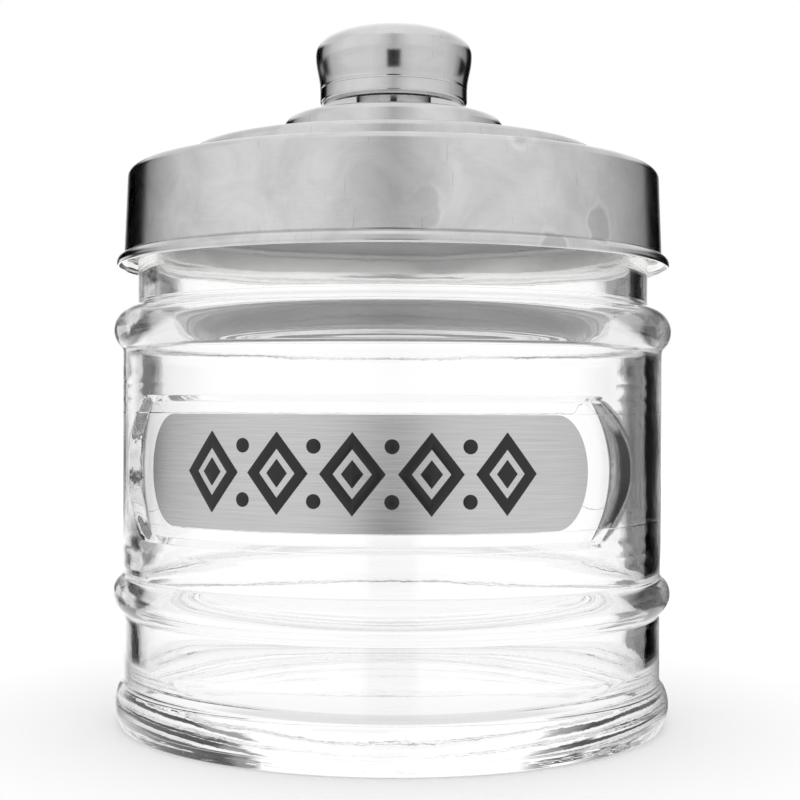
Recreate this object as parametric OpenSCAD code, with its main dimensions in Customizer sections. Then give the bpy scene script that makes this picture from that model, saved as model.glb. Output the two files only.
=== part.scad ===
// Glass sugar jar with a pressed metal lid that lifts off by its knob.
// Millimetres. The jar stands on z = 0, its axis is Z, and the label faces -Y.

/* [Jar body] */
// Outer radius of the body between the beads
body_r = 53; // [48:0.5:60]
// How much narrower the band under the lower bead is
base_band_inset = 0.15; // [0:0.05:0.4]
// Thickness of the body's glass
wall_t = 3; // [2.4:0.1:4]
// Height of the glass floor inside, at the foot of the wall
floor_z = 6; // [4.5:0.1:9]
// How far the floor swells up in the middle
floor_rise = 0.8; // [0.2:0.1:2]
// Radius inside, where the wall turns into the floor
floor_corner_r = 7; // [4:0.5:10]
// Fineness of round forms
roundness = 120; // [60:12:180]

/* [Jar heel] */
// How far the heel stands out from the band above it
heel_out = 1.7; // [0.8:0.1:2.4]
// Height of the heel's widest place
heel_z = 4; // [3.2:0.1:5]
// Radius of the heel's bulge, seen from the side
heel_bulge_r = 7; // [5:0.5:9]
// Radius of the blend from the heel into the band
heel_blend_r = 3; // [1:0.5:4]
// Height of the edge where the heel turns in to the foot
heel_edge_z = 2.4; // [1.8:0.1:2.8]
// How far the foot's outer edge is inside the heel
foot_inset = 1.25; // [0.8:0.05:2]
// Width of the flat ring that the jar stands on
foot_w = 2.8; // [1.5:0.1:4]
// Height of the hollow under the base, in the middle
kick_h = 2.2; // [1:0.1:3]

/* [Jar beads] */
// Height of the lower bead
bead_z = 25.4; // [22:0.2:30]
// How far the lower bead stands out
bead_out = 1.9; // [1:0.1:2.5]
// Radius of the lower bead's ridge
bead_ridge_r = 4; // [3:0.1:5]
// Height of the shoulder bead
shoulder_z = 75.9; // [71:0.1:92]
// How far the shoulder bead stands out
shoulder_out = 1.8; // [1:0.1:2.5]
// Radius of the shoulder bead, which rounds over into the neck
shoulder_ridge_r = 4.6; // [4:0.1:5.4]
// Radius of the hollow blends beside the beads
blend_r = 1.4; // [0.6:0.1:2]
// How far the inside follows each bead
bead_inside = 0.8; // [0.3:0.1:1.2]

/* [Jar neck] */
// Step from the body's radius in to the neck's
neck_inset = 2.8; // [2.2:0.1:3.6]
// Thickness of the neck's glass
neck_t = 3.4; // [2.6:0.1:4.2]
// Height of the neck above the shoulder bead's middle
neck_h = 29.3; // [26:0.1:34]
// Height of the slope inside, from the wall up to the neck
throat_h = 7; // [5:0.5:9]

/* [Label] */
// Height of the label's middle
label_z = 50; // [48:0.1:56]
// Half of the angle that the label covers
label_half_angle = 47.3; // [30:0.1:52]
// Height of the label
label_h = 19.8; // [14:0.2:22]
// Length of each rounded end of the label, seen from the front
label_end = 5.2; // [3:0.1:7]
// Thickness of the label's metal
label_t = 0.35; // [0.2:0.05:0.5]
// Thickness of the glue film
glue_t = 0.15; // [0.1:0.05:0.2]
// Border of glass panel above and below the label
panel_border = 2.7; // [1.5:0.1:3.2]
// Depth of the panel in the body
panel_depth = 0.8; // [0.6:0.05:1]
// Extra half angle of the panel at its corners
panel_corner_angle = 0.6; // [0:0.1:2]
// How far the panel's ends bow out, as an angle
panel_bow_angle = 5.2; // [3:0.1:7]
// Width of the crescent at the panel's ends, as an angle
crescent_angle = 7; // [4:0.1:9]
// Fraction of the crescent's width that is left at its tips
crescent_tip = 0.3; // [0.1:0.05:0.6]

/* [Lid] */
// Thickness of the lid's sheet
sheet_t = 0.5; // [0.4:0.05:0.8]
// Gap between the neck and the skirt's sheet at its upper end
skirt_gap = 1.6; // [1.4:0.1:2.4]
// How far the skirt widens towards its lower end
skirt_taper = 0.55; // [0:0.05:1]
// Height of the skirt, from its crease to the lid's shoulder
skirt_h = 16.3; // [13:0.1:17]
// Outer radius of the lower step
step_low_r = 40.6; // [34:0.1:44]
// Height of the lower step
step_low_h = 4.2; // [3:0.1:6]
// Outer radius of the upper step
step_top_r = 21.9; // [18:0.1:26]
// Height of the upper step
step_top_h = 7; // [6.2:0.1:9]
// Radius of the lid's shoulder
shoulder_edge_r = 1.7; // [1:0.1:2.5]
// Radius of the lower step's edge
step_low_edge_r = 1.5; // [1:0.1:2]
// Radius of the upper step's edge
step_top_edge_r = 2; // [1:0.1:2.6]
// Radius of the hollow at the foot of the lower step
step_low_foot_r = 1.5; // [0.8:0.1:2]
// Radius of the hollow at the foot of the upper step
step_top_foot_r = 3.4; // [1:0.1:3.6]
// How far the flared rim stands out from the skirt
flare_out = 1.45; // [0.8:0.05:2]
// Radius of the flare
flare_r = 1.65; // [1.5:0.05:2.6]
// Depth of the crease between the skirt and the flare
crease_d = 0.25; // [0.1:0.05:0.35]

/* [Sealing ring] */
// Thickness of the ring's sleeve
seal_t = 0.6; // [0.4:0.05:0.8]
// Thickness of the ring's flange, between the mouth and the lid
seal_flange_t = 1.2; // [0.8:0.1:1.6]
// Length of the ring's sleeve below its flange
seal_h = 10; // [7:0.5:11]
// Number of fins
seal_fins = 3; // [2:1:4]
// Running clearance of the ring on the glass and in the lid
seal_clear = 0.1; // [0.05:0.01:0.15]

/* [Knob] */
// Largest radius of the knob
knob_r = 15.6; // [13:0.1:18]
// Radius of the knob's waist and of its base
knob_waist_r = 14.7; // [12:0.1:15]
// Height of the gap between the lid and the knob's lower edge
knob_gap = 2.6; // [2:0.1:4]
// Height of the knob's base, from its lower edge to the seam
knob_base_h = 3.3; // [2.6:0.1:4]
// Height from the seam to the knob's widest place
knob_flare_h = 6.8; // [5:0.1:8]
// Height of the knob's dome above its widest place
knob_dome_h = 5.4; // [4:0.1:9]
// Squareness of the dome: 2 is an ellipse
knob_squareness = 2.4; // [2:0.1:3]
// Thickness of the knob's metal
knob_t = 0.7; // [0.5:0.05:1]
// Radius of the knob's lower edge
knob_edge_r = 1.2; // [0.5:0.1:1.6]
// Radius of the foot that the knob stands on
foot_r = 7.5; // [6:0.1:9]

/* [Fastening] */
// Radius of the screw's shank
screw_r = 2; // [1.5:0.1:2.4]
// Clearance round the shank in its holes
screw_clear = 0.2; // [0.1:0.05:0.4]
// Radius of the screw's head
head_r = 3.8; // [3.4:0.1:4.6]
// Height of the screw's head
head_h = 2.4; // [1.8:0.1:3]
// Radius of the washer
washer_r = 5.5; // [5:0.1:7]
// Thickness of the washer
washer_t = 0.8; // [0.5:0.1:1.2]
// Width of the nut across its flats
nut_af = 7; // [6:0.1:8]
// Height of the nut
nut_h = 3.2; // [2.4:0.1:3.4]
// How far the shank stands out of the nut
screw_tail = 1.2; // [0.5:0.1:2]

/* [Hidden] */
$fn = roundness;
over = 1;                     // how far a cut runs past the face that it opens

base_band_r = body_r - base_band_inset;
inner_r = body_r - wall_t;
heel_r = base_band_r + heel_out;
foot_edge_r = heel_r - foot_inset;
foot_round = 0.35;
neck_r = body_r - neck_inset;
mouth_r = neck_r - neck_t;
mouth_z = shoulder_z + neck_h;
rim_round_r = neck_t / 2;

label_r = body_r - panel_depth;          // the panel's floor, which the glue lies on
plate_r = label_r + glue_t;
panel_half_h = label_h / 2 + panel_border;
panel_half_angle = label_half_angle + panel_corner_angle;
crescent_lap = 0.4;

seal_top_z = mouth_z + seal_clear + seal_flange_t;
seal_r = neck_r + skirt_gap - seal_clear;
lid_top_z = seal_top_z + seal_clear + sheet_t;
skirt_top_r = neck_r + skirt_gap + sheet_t;
skirt_low_r = skirt_top_r + skirt_taper;
skirt_low_z = lid_top_z - skirt_h;
step_low_z = lid_top_z + step_low_h;
step_top_z = step_low_z + step_top_h;

knob_z = step_top_z + knob_gap;          // the knob's lower edge
seam_z = knob_z + knob_base_h;
hole_r = screw_r + screw_clear;
nut_z = step_top_z + knob_t;
washer_z = step_top_z - sheet_t - washer_t;

// Points of an arc round c, from angle a0 to a1, in n steps
function arc(c, r, a0, a1, n) =
    [for (i = [0:n]) let (a = a0 + (a1 - a0) * i / n) c + r * [cos(a), sin(a)]];

// Radius of the arc that bows out by `bow` over a chord of half length h
function bow_radius(h, bow) = (h * h + bow * bow) / (2 * bow);

function reversed(p) = [for (i = [len(p) - 1:-1:0]) p[i]];

// A bead's section, going up: it stands `out` from radius r at height z, with a ridge of radius rr
// between two hollow blends of radius rf
function bead(r, z, out, rr, rf) =
    let (dr = rr + rf - out, dz = sqrt(pow(rr + rf, 2) - dr * dr), a = atan2(dz, dr))
    concat(
        arc([r + rf, z - dz], rf, 180, 180 - a, 4),
        arc([r + out - rr, z], rr, -a, a, 12),
        arc([r + rf, z + dz], rf, 180 + a, 180, 4));

// The shoulder's section, going up: the bead of the body, rounded over into the neck
function shoulder() =
    let (
        rr = shoulder_ridge_r, rf = blend_r, c = [body_r + shoulder_out - rr, shoulder_z],
        dr = rr + rf - shoulder_out, dz = sqrt(pow(rr + rf, 2) - dr * dr), a = atan2(dz, dr),
        er = neck_r + rf - c[0], ez = sqrt(pow(rr + rf, 2) - er * er), b = atan2(ez, er))
    concat(
        arc([body_r + rf, shoulder_z - dz], rf, 180, 180 - a, 4),
        arc(c, rr, -a, b, 20),
        arc([neck_r + rf, shoulder_z + ez], rf, 180 + b, 180, 5));

// The heel's section, going up: foot, turned-in edge, bulge and the blend into the band
function heel() =
    let (
        rr = heel_bulge_r, rf = heel_blend_r, dr = rr + rf - heel_out,
        dz = sqrt(pow(rr + rf, 2) - dr * dr), a = atan2(dz, dr),
        a_edge = asin((heel_edge_z - heel_z) / rr))
    concat(
        arc([foot_edge_r - foot_round, foot_round], foot_round, -90, -30, 3),
        arc([heel_r - rr, heel_z], rr, a_edge, a, 8),
        arc([base_band_r + rf, heel_z + dz], rf, 180 + a, 180, 5));

// The hollow under the base, from the middle out to the foot
function kick() =
    let (b = foot_edge_r - foot_round - foot_w, r = bow_radius(b, kick_h))
    arc([0, kick_h - r], r, 90, 90 - asin(b / r), 6);

// The inside, going up: floor, rounded corner, wall with a trace of each bead, throat and mouth
function inside() =
    let (
        throat_in = inner_r - mouth_r,
        throat_r = (throat_in * throat_in + throat_h * throat_h) / (4 * throat_in),
        a = asin(throat_h / 2 / throat_r),
        throat_z = shoulder_z + shoulder_ridge_r - throat_h + 1)
    concat(
        [[0, floor_z + floor_rise], [inner_r * 0.45, floor_z + floor_rise * 0.55]],
        arc([inner_r - floor_corner_r, floor_z + floor_corner_r], floor_corner_r, -90, 0, 8),
        bead(inner_r, bead_z, bead_inside, bead_ridge_r, blend_r * 2),
        arc([inner_r - throat_r, throat_z], throat_r, 0, a, 6),
        arc([mouth_r + throat_r, throat_z + throat_h], throat_r, 180 + a, 180, 6));

// Outline of a panel seen from the front: flat above and below, with bowed ends.
// half_x is half its length between corners and end is how far each end bows out.
module bowed_outline(half_x, half_z, end) {
    right = [for (a = [-90:7.5:90]) [half_x + end * cos(a), half_z * sin(a)]];
    left = [for (a = [90:7.5:270]) [-half_x + end * cos(a), half_z * sin(a)]];
    polygon(concat(right, left));
}

// Pushes an outline drawn in X and Z through the front of the jar
module through_front() {
    translate([0, 0, label_z])
        rotate([90, 0, 0])
        linear_extrude(height = body_r + over)
        children();
}

// Outline of the panel: a rectangle with a part of a circle bowing out at each end
module panel_outline() {
    corner_x = label_r * sin(panel_half_angle);
    bow = label_r * sin(panel_half_angle + panel_bow_angle) - corner_x;
    end_r = bow_radius(panel_half_h, bow);
    square([2 * corner_x, 2 * panel_half_h], center = true);
    intersection() {
        square([4 * body_r, 2 * panel_half_h], center = true);
        for (side = [-1, 1])
            translate([side * (corner_x + bow - end_r), 0])
                circle(r = end_r);
    }
}

// Cuts the ramp past one end of the panel: a flat facet, crescent in outline, that rises from the
// panel's floor to the body's face. It starts a little way in on the floor, so no fin is left between them.
module crescent_cut() {
    a0 = panel_half_angle + panel_bow_angle;
    a1 = a0 + crescent_angle;
    low = label_r * [sin(a0), -cos(a0)];
    high = body_r * [sin(a1), -cos(a1)];
    run = high - low;
    w = norm(run);
    bow_low = 2 * label_r * sin(panel_bow_angle / 2);
    bow_high = w * (1 - crescent_tip) + bow_low;
    low_r = bow_radius(panel_half_h, bow_low);
    high_r = bow_radius(panel_half_h, bow_high);
    translate([low[0], low[1], label_z])
        rotate([0, 0, atan2(run[1], run[0])])
        rotate([90, 0, 0])
        linear_extrude(height = wall_t)
        difference() {
            intersection() {
                translate([-bow_low, -panel_half_h])
                    square([bow_low + w, 2 * panel_half_h]);
                translate([w - high_r, 0])
                    circle(r = high_r);
            }
            translate([-low_r - crescent_lap, 0])
                circle(r = low_r);
        }
}

module glass_jar() {
    section = concat(
        kick(), heel(),
        bead(base_band_r, bead_z, bead_out, bead_ridge_r, blend_r),
        [[body_r, bead_z + bead_ridge_r + blend_r]],
        shoulder(),
        arc([neck_r - rim_round_r, mouth_z - rim_round_r], rim_round_r, 0, 180, 10),
        reversed(inside()));
    color([0.86, 0.92, 0.91, 0.35])
        difference() {
            rotate_extrude()
                polygon(section);
            intersection() {
                through_front()
                    panel_outline();
                difference() {
                    cylinder(r = body_r + over, h = 2 * label_z);
                    translate([0, 0, -over])
                        cylinder(r = label_r, h = 2 * label_z + 2 * over);
                }
            }
            crescent_cut();
            mirror([1, 0, 0])
                crescent_cut();
        }
}

// A curved sheet on the panel, between radius r and r + t, with the label's outline
module label_sheet(r, t) {
    intersection() {
        difference() {
            translate([0, 0, label_z - label_h])
                cylinder(r = r + t, h = 2 * label_h);
            translate([0, 0, label_z - label_h - over])
                cylinder(r = r, h = 2 * label_h + 2 * over);
        }
        through_front()
            bowed_outline(plate_r * sin(label_half_angle) - label_end, label_h / 2, label_end);
    }
}

module label_adhesive() {
    color([0.93, 0.93, 0.9])
        label_sheet(label_r, glue_t);
}

module label_plate() {
    color([0.75, 0.75, 0.75])
        label_sheet(plate_r, label_t);
}

// The ring grips the neck with fins that point inwards, and its flange seals the mouth
module sealing_ring() {
    flange_z = mouth_z + seal_clear;
    fin_tip_r = neck_r + seal_clear;
    sleeve_r = seal_r - seal_t;
    pitch = seal_h / seal_fins;
    fins = [for (i = [0:seal_fins - 1]) let (z = flange_z - i * pitch)
        each [[sleeve_r, z - 0.5 * pitch], [fin_tip_r, z - 0.62 * pitch], [fin_tip_r, z - 0.72 * pitch],
            [sleeve_r, z - 0.88 * pitch]]];
    color([0.92, 0.93, 0.92])
        rotate_extrude()
        polygon(concat(
            [[mouth_r + rim_round_r / 2, seal_top_z], [mouth_r + rim_round_r / 2, flange_z],
                [sleeve_r, flange_z]],
            fins,
            [[sleeve_r, flange_z - seal_h], [seal_r, flange_z - seal_h]],
            arc([skirt_top_r - shoulder_edge_r, lid_top_z - shoulder_edge_r],
                shoulder_edge_r - sheet_t - seal_clear, 0, 90, 5)));
}

// The lid's section from the screw hole out and down the skirt, drawn `in` inside its outer face
function lid_face(in) = concat(
    [[hole_r, step_top_z - in]],
    arc([step_top_r - step_top_edge_r, step_top_z - step_top_edge_r], step_top_edge_r - in, 90, 0, 6),
    arc([step_top_r + step_top_foot_r, step_low_z + step_top_foot_r], step_top_foot_r + in, 180, 270, 6),
    arc([step_low_r - step_low_edge_r, step_low_z - step_low_edge_r], step_low_edge_r - in, 90, 0, 6),
    arc([step_low_r + step_low_foot_r, lid_top_z + step_low_foot_r], step_low_foot_r + in, 180, 270, 5),
    arc([skirt_top_r - shoulder_edge_r, lid_top_z - shoulder_edge_r], shoulder_edge_r - in, 90, 0, 6),
    [[skirt_low_r - in, skirt_low_z]]);

module lid_shell() {
    flare_c = [skirt_low_r + flare_out - flare_r, skirt_low_z - 0.2 - flare_r];
    a_crease = acos((skirt_low_r - crease_d - flare_c[0]) / flare_r);
    color([0.72, 0.72, 0.72])
        rotate_extrude()
        polygon(concat(
            lid_face(0),
            arc(flare_c, flare_r, a_crease, -15, 8),
            arc(flare_c, flare_r - sheet_t, -15, 90, 8),
            reversed(lid_face(sheet_t))));
}

module screw_washer() {
    color([0.7, 0.7, 0.7])
        translate([0, 0, washer_z])
        difference() {
            cylinder(r = washer_r, h = washer_t);
            translate([0, 0, -over])
                cylinder(r = hole_r, h = washer_t + 2 * over);
        }
}

// A pan-head screw with a cross recess, put in from below
module knob_screw() {
    head_low_z = washer_z - head_h;
    tip_z = nut_z + nut_h + screw_tail;
    recess_l = head_r * 1.1;
    recess_w = head_r * 0.24;
    color([0.68, 0.68, 0.7])
        difference() {
            rotate_extrude()
                polygon(concat(
                    [[0, head_low_z]],
                    arc([head_r - head_h * 0.6, head_low_z + head_h * 0.6], head_h * 0.6, -90, 0, 6),
                    [[head_r, washer_z], [screw_r, washer_z], [screw_r, tip_z - screw_r / 3],
                        [screw_r * 2 / 3, tip_z], [0, tip_z]]));
            for (a = [0, 90])
                rotate([0, 0, a])
                    translate([-recess_l / 2, -recess_w / 2, head_low_z - over])
                    cube([recess_l, recess_w, head_h * 0.5 + over]);
        }
}

// A dished disc: a foot on the lid, a recessed underside, a rim up to the seam and a spigot in the cap
module knob_base() {
    under_z = knob_z + 0.5;
    spigot_r = knob_waist_r - knob_t;
    spigot_z = seam_z + 2;
    lip_w = knob_edge_r + 0.6;
    color([0.6, 0.6, 0.6])
        rotate_extrude()
        polygon(concat(
            [[hole_r, step_top_z], [foot_r, step_top_z], [foot_r, under_z], [knob_waist_r - lip_w, under_z],
                [knob_waist_r - lip_w + 0.3, knob_z]],
            arc([knob_waist_r - knob_edge_r, knob_z + knob_edge_r], knob_edge_r, -90, 0, 6),
            [[knob_waist_r, seam_z], [spigot_r, seam_z], [spigot_r, spigot_z], [spigot_r - knob_t, spigot_z],
                [spigot_r - knob_t, under_z + knob_t], [foot_r - knob_t, under_z + knob_t],
                [foot_r - knob_t, nut_z], [hole_r, nut_z]]));
}

module knob_nut() {
    color([0.75, 0.68, 0.45])
        translate([0, 0, nut_z])
        difference() {
            cylinder(r = nut_af / 2 / cos(30), h = nut_h, $fn = 6);
            translate([0, 0, -over])
                cylinder(r = screw_r, h = nut_h + 2 * over);
        }
}

// The knob's section from its top out and down to the seam, drawn `in` inside its outer face
function knob_face(in) =
    let (
        widest_z = seam_z + knob_flare_h, r = knob_r - in, h = knob_dome_h - in, p = knob_squareness)
    concat(
        [for (a = [0:6:90]) [r * pow(sin(a), 2 / p), widest_z + h * pow(cos(a), 2 / p)]],
        [for (t = [0.9:-0.1:0])
            [knob_waist_r - in + (knob_r - knob_waist_r) * (1 - cos(180 * t)) / 2,
                seam_z + knob_flare_h * t]]);

module knob_cap() {
    color([0.74, 0.74, 0.74])
        rotate_extrude()
        polygon(concat(knob_face(0), reversed(knob_face(knob_t))));
}

glass_jar();
label_adhesive();
label_plate();
sealing_ring();
lid_shell();
screw_washer();
knob_screw();
knob_base();
knob_nut();
knob_cap();
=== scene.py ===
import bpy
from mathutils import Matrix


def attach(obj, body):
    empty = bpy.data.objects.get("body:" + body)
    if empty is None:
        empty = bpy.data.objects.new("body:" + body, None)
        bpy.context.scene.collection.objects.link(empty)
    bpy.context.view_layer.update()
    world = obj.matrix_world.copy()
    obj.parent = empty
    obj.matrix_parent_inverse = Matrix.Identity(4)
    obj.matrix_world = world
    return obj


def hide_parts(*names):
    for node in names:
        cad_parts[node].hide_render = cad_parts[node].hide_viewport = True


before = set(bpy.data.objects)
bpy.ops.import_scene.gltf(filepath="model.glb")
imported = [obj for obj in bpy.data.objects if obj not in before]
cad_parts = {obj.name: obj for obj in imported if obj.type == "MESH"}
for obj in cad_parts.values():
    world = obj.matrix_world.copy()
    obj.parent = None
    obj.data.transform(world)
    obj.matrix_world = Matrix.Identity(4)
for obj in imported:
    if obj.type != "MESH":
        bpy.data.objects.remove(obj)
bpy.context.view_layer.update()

import math
from types import SimpleNamespace

import bpy
import numpy as np
from bpy.props import FloatProperty, FloatVectorProperty, IntProperty, PointerProperty
from bpy.types import Operator, Panel, PropertyGroup
from mathutils import Matrix

bl_info = {
    "name": "Glass sugar jar",
    "version": (1, 0, 0),
    "blender": (4, 5, 0),
    "location": "3D View > Sidebar > Sugar jar",
    "description": "Beaded glass jar with a metal label and a pressed lid, built round its packed solids",
    "category": "Add Mesh",
}

MM = 0.001


def length(name, description, default, **limits):
    """A size property, given in millimetres and kept in metres."""
    limits = {key: value * MM for key, value in limits.items()}
    return FloatProperty(name=name, description=description, default=default * MM, unit="LENGTH",
                         precision=5, **limits)


def angle(name, description, default):
    """An angle property, given in degrees."""
    return FloatProperty(name=name, description=description, default=math.radians(default), unit="ROTATION")


def srgb(code):
    """Turns a hex colour, as seen on a screen, to the linear values that shaders take."""
    values = [int(code[i:i + 2], 16) / 255 for i in (1, 3, 5)]
    return [v / 12.92 if v <= 0.04045 else ((v + 0.055) / 1.055) ** 2.4 for v in values]


def colour(name, description, code):
    """A colour property, given as a hex code."""
    return FloatVectorProperty(name=name, description=description, default=srgb(code), size=3,
                               subtype="COLOR", min=0, max=1)


class JarSizes(PropertyGroup):
    """Sizes of the glass."""
    body_r: length("Body radius", "Outer radius of the body between the beads", 53)
    band_inset: length("Lower band inset", "How much narrower the band under the lower bead is", 0.15)
    wall: length("Wall", "Thickness of the body's glass", 3)
    floor_z: length("Floor", "Height of the floor at the foot of the wall", 6)
    floor_rise: length("Floor rise", "How far the floor swells up in the middle", 0.8)
    corner_r: length("Floor corner", "Radius inside, where the wall turns into the floor", 7)
    heel_out: length("Heel", "How far the heel stands out", 1.7)
    heel_z: length("Heel height", "Height of the heel's widest place", 4)
    heel_bulge_r: length("Heel bulge", "Radius of the heel's bulge", 7)
    heel_blend_r: length("Heel blend", "Radius of the blend into the band", 3)
    heel_edge_z: length("Heel edge", "Height of the edge where the heel turns in to the foot", 2.4)
    foot_inset: length("Foot inset", "How far the foot's outer edge is inside the heel", 1.25)
    foot_w: length("Foot width", "Width of the ring that the jar stands on", 2.8)
    foot_edge_r: length("Foot edge", "Radius of the foot's outer edge", 0.35)
    bar_count: IntProperty(name="Foot bars", default=72, min=1, description="Bars pressed into the foot")
    bar_depth: length("Foot bar depth", "Depth of the bars pressed into the foot", 0.12)
    kick_h: length("Kick", "Height of the hollow under the base", 2.2)
    bead_z: length("Lower bead height", "Height of the lower bead", 25.4)
    bead_out: length("Lower bead", "How far the lower bead stands out", 1.9)
    bead_r: length("Lower bead ridge", "Radius of the lower bead's ridge", 4)
    shoulder_z: length("Shoulder height", "Height of the shoulder bead", 75.9)
    shoulder_out: length("Shoulder bead", "How far the shoulder bead stands out", 1.77)
    shoulder_r: length("Shoulder ridge", "Radius of the shoulder bead", 4.6)
    blend_r: length("Blend", "Radius of the hollow blends beside the beads", 1.4)
    bead_inside: length("Bead inside", "How far the inside follows the lower bead", 0.3)
    neck_inset: length("Neck inset", "Step from the body's radius in to the neck's", 2.8)
    neck_t: length("Neck wall", "Thickness of the neck's glass", 3.4)
    neck_h: length("Neck height", "Height of the neck above the shoulder bead's middle", 29.3)
    throat_h: length("Throat", "Height of the slope inside, up to the neck", 7)
    panel_z: length("Panel height", "Height of the middle of the panel and the label", 50)
    panel_half_h: length("Panel half height", "Half height of the panel", 12.6)
    panel_depth: length("Panel depth", "Depth of the panel in the body", 0.8)
    panel_slope: length("Panel slope", "Height of the sloping top and bottom of the panel", 1.2)
    panel_rest: FloatProperty(name="Panel rest", default=0.63, min=0.3, max=1,
                              description="Depth behind the label as a share of the panel's depth")
    panel_angle: angle("Panel half angle", "Half of the angle of the panel at its corners", 47.9)
    bow_angle: angle("Panel bow", "How far the panel's ends bow out", 5.2)
    crescent_angle: angle("Crescent", "Width of the crescent past each end of the panel", 7)
    crescent_tip: FloatProperty(name="Crescent tip", default=0.3, min=0, max=1,
                                description="Share of the crescent's width that is left at its tips")
    wave_h: length("Waves", "Height of the waves on the inside of the wall", 0.022)
    ripple_h: length("Floor ripple", "Height of the ripple in the floor", 0.025)


class LabelSizes(PropertyGroup):
    """Sizes of the label."""
    half_angle: angle("Half angle", "Half of the angle that the label covers", 47.3)
    height: length("Height", "Height of the label", 19.8)
    end: length("Rounded end", "Length of each rounded end, seen from the front", 5.2)
    thickness: length("Thickness", "Thickness of the metal", 0.35)
    glue: length("Glue", "Thickness of the glue film", 0.15)
    glue_inset: length("Glue inset", "How far the glue film ends inside the plate's edge", 0.35)
    pitch: length("Pitch", "From one lozenge of the ornament to the next", 13.2)
    lozenge_w: length("Lozenge half width", "Half width of a lozenge", 5.6)
    lozenge_h: length("Lozenge half height", "Half height of a lozenge", 7)
    disc_up: length("Disc height", "How far a disc is above or below the label's middle", 4.6)
    disc_r: length("Disc radius", "Radius of a disc", 1.25)
    raised: length("Raised", "Height of the raised ornament", 0.16)


class LidSizes(PropertyGroup):
    """Sizes of the lid and of the sealing ring."""
    sheet: length("Sheet", "Thickness of the sheet", 0.5)
    skirt_gap: length("Skirt gap", "Gap between the neck and the skirt's sheet at its upper end", 1.6)
    skirt_taper: length("Skirt taper", "How far the skirt widens towards its lower end", 0.55)
    skirt_h: length("Skirt height", "From the crease to the shoulder", 16.3)
    low_r: length("Lower step radius", "Outer radius of the lower step", 40.6)
    low_h: length("Lower step height", "Height of the lower step", 4.2)
    top_r: length("Upper step radius", "Outer radius of the upper step", 21.9)
    top_h: length("Upper step height", "Height of the upper step", 7)
    edge_r: length("Shoulder edge", "Radius of the lid's shoulder", 1.7)
    low_edge_r: length("Lower step edge", "Radius of the lower step's edge", 1.5)
    top_edge_r: length("Upper step edge", "Radius of the upper step's edge", 2)
    low_foot_r: length("Lower step hollow", "Radius of the hollow at the lower step's foot", 1.5)
    top_foot_r: length("Upper step hollow", "Radius of the hollow at the upper step's foot", 3.4)
    flare_out: length("Flare", "How far the flared rim stands out from the skirt", 1.45)
    flare_r: length("Flare radius", "Radius of the flare", 1.65)
    crease: length("Crease", "Depth of the crease above the flare", 0.25)
    crease_h: length("Crease height", "Height of the crease", 0.2)
    worn_h: length("Wear", "Height of the waves that handling has left in the sheet", 0.035)
    seal_clear: length("Ring clearance", "Clearance above and below the ring's flange", 0.1)
    seal_flange: length("Ring flange", "Thickness of the ring's flange", 1.2)


class KnobSizes(PropertyGroup):
    """Sizes of the knob."""
    radius: length("Radius", "Largest radius of the knob", 15.6)
    waist_r: length("Waist", "Radius of the knob's waist and base", 14.7)
    gap: length("Gap", "Gap between the lid and the knob's lower edge", 2.6)
    base_h: length("Base height", "From the knob's lower edge to the seam", 3.3)
    flare_h: length("Flare height", "From the seam to the widest place", 6.8)
    dome_h: length("Dome height", "Height of the dome above the widest place", 5.4)
    squareness: FloatProperty(name="Squareness", default=2.4, min=1.8, max=4,
                              description="Squareness of the dome: 2 is an ellipse")
    wall: length("Wall", "Thickness of the metal", 0.7)
    edge_r: length("Lower edge", "Radius of the knob's lower edge", 1.2)
    foot_r: length("Foot", "Radius of the foot that the knob stands on", 7.5)
    hole_r: length("Hole", "Radius of the screw's hole", 2.2)


class Colours(PropertyGroup):
    """Colours of the finishes."""
    glass: colour("Glass", "Tint of the clear glass", "#FEFEFE")
    lid: colour("Lid", "Metal of the lid", "#D4D4D4")
    # Painted light: a brighter colour for the lid's inward and downward faces, which stands in for light that
    # falls short there; the metal is the same
    inside: colour("Inside of the lid", "Metal inside the lid, never handled", "#FAFAF9")
    knob: colour("Knob", "Metal of the knob", "#D2D2D2")
    label: colour("Label", "Metal of the label", "#CFCFCF")
    enamel: colour("Enamel", "Raised ornament of the label", "#0A0A0A")
    glue: colour("Glue", "Back of the label, seen through the glass", "#F0F0EE")
    ring: colour("Sealing ring", "Plastic of the sealing ring", "#FAFAFA")
    zinc: colour("Zinc", "Screw, washer and nut", "#C9CBCD")
    floor: colour("Floor", "Floor that the jar stands on", "#FCFCFC")


class StageSizes(PropertyGroup):
    """The camera's place and the floor."""
    azimuth: angle("Azimuth", "Camera's angle round the jar from the front", 7.2)
    distance: length("Distance", "Camera's distance from the jar's axis", 303)
    height: length("Height", "Camera's height above the floor", 60.5)
    roll: angle("Roll", "Camera's turn about its own axis", 0.25)
    lens: FloatProperty(name="Lens", default=68.22, unit="CAMERA", description="Focal length in millimetres")
    floor_r: length("Floor radius", "Radius of the floor", 3000)


GROUPS = {"jar_sizes": JarSizes, "label_sizes": LabelSizes, "lid_sizes": LidSizes, "knob_sizes": KnobSizes,
          "jar_colours": Colours, "stage_sizes": StageSizes}


def in_mm(group):
    """The group's values, with lengths in millimetres and angles in degrees."""
    values = {}
    for key, prop in group.bl_rna.properties.items():
        if prop.type in ("FLOAT", "INT") and not prop.is_array:
            value = getattr(group, key)
            values[key] = {"LENGTH": value / MM, "ROTATION": math.degrees(value)}.get(prop.unit, value)
    return SimpleNamespace(**values)


# Sections: lists of (radius, height) points in millimetres

def arc(centre, r, start, end, steps):
    """Points on an arc from one angle in degrees to another."""
    a = np.radians(np.linspace(start, end, steps + 1))
    return np.stack([centre[0] + r * np.cos(a), centre[1] + r * np.sin(a)], -1)


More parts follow.
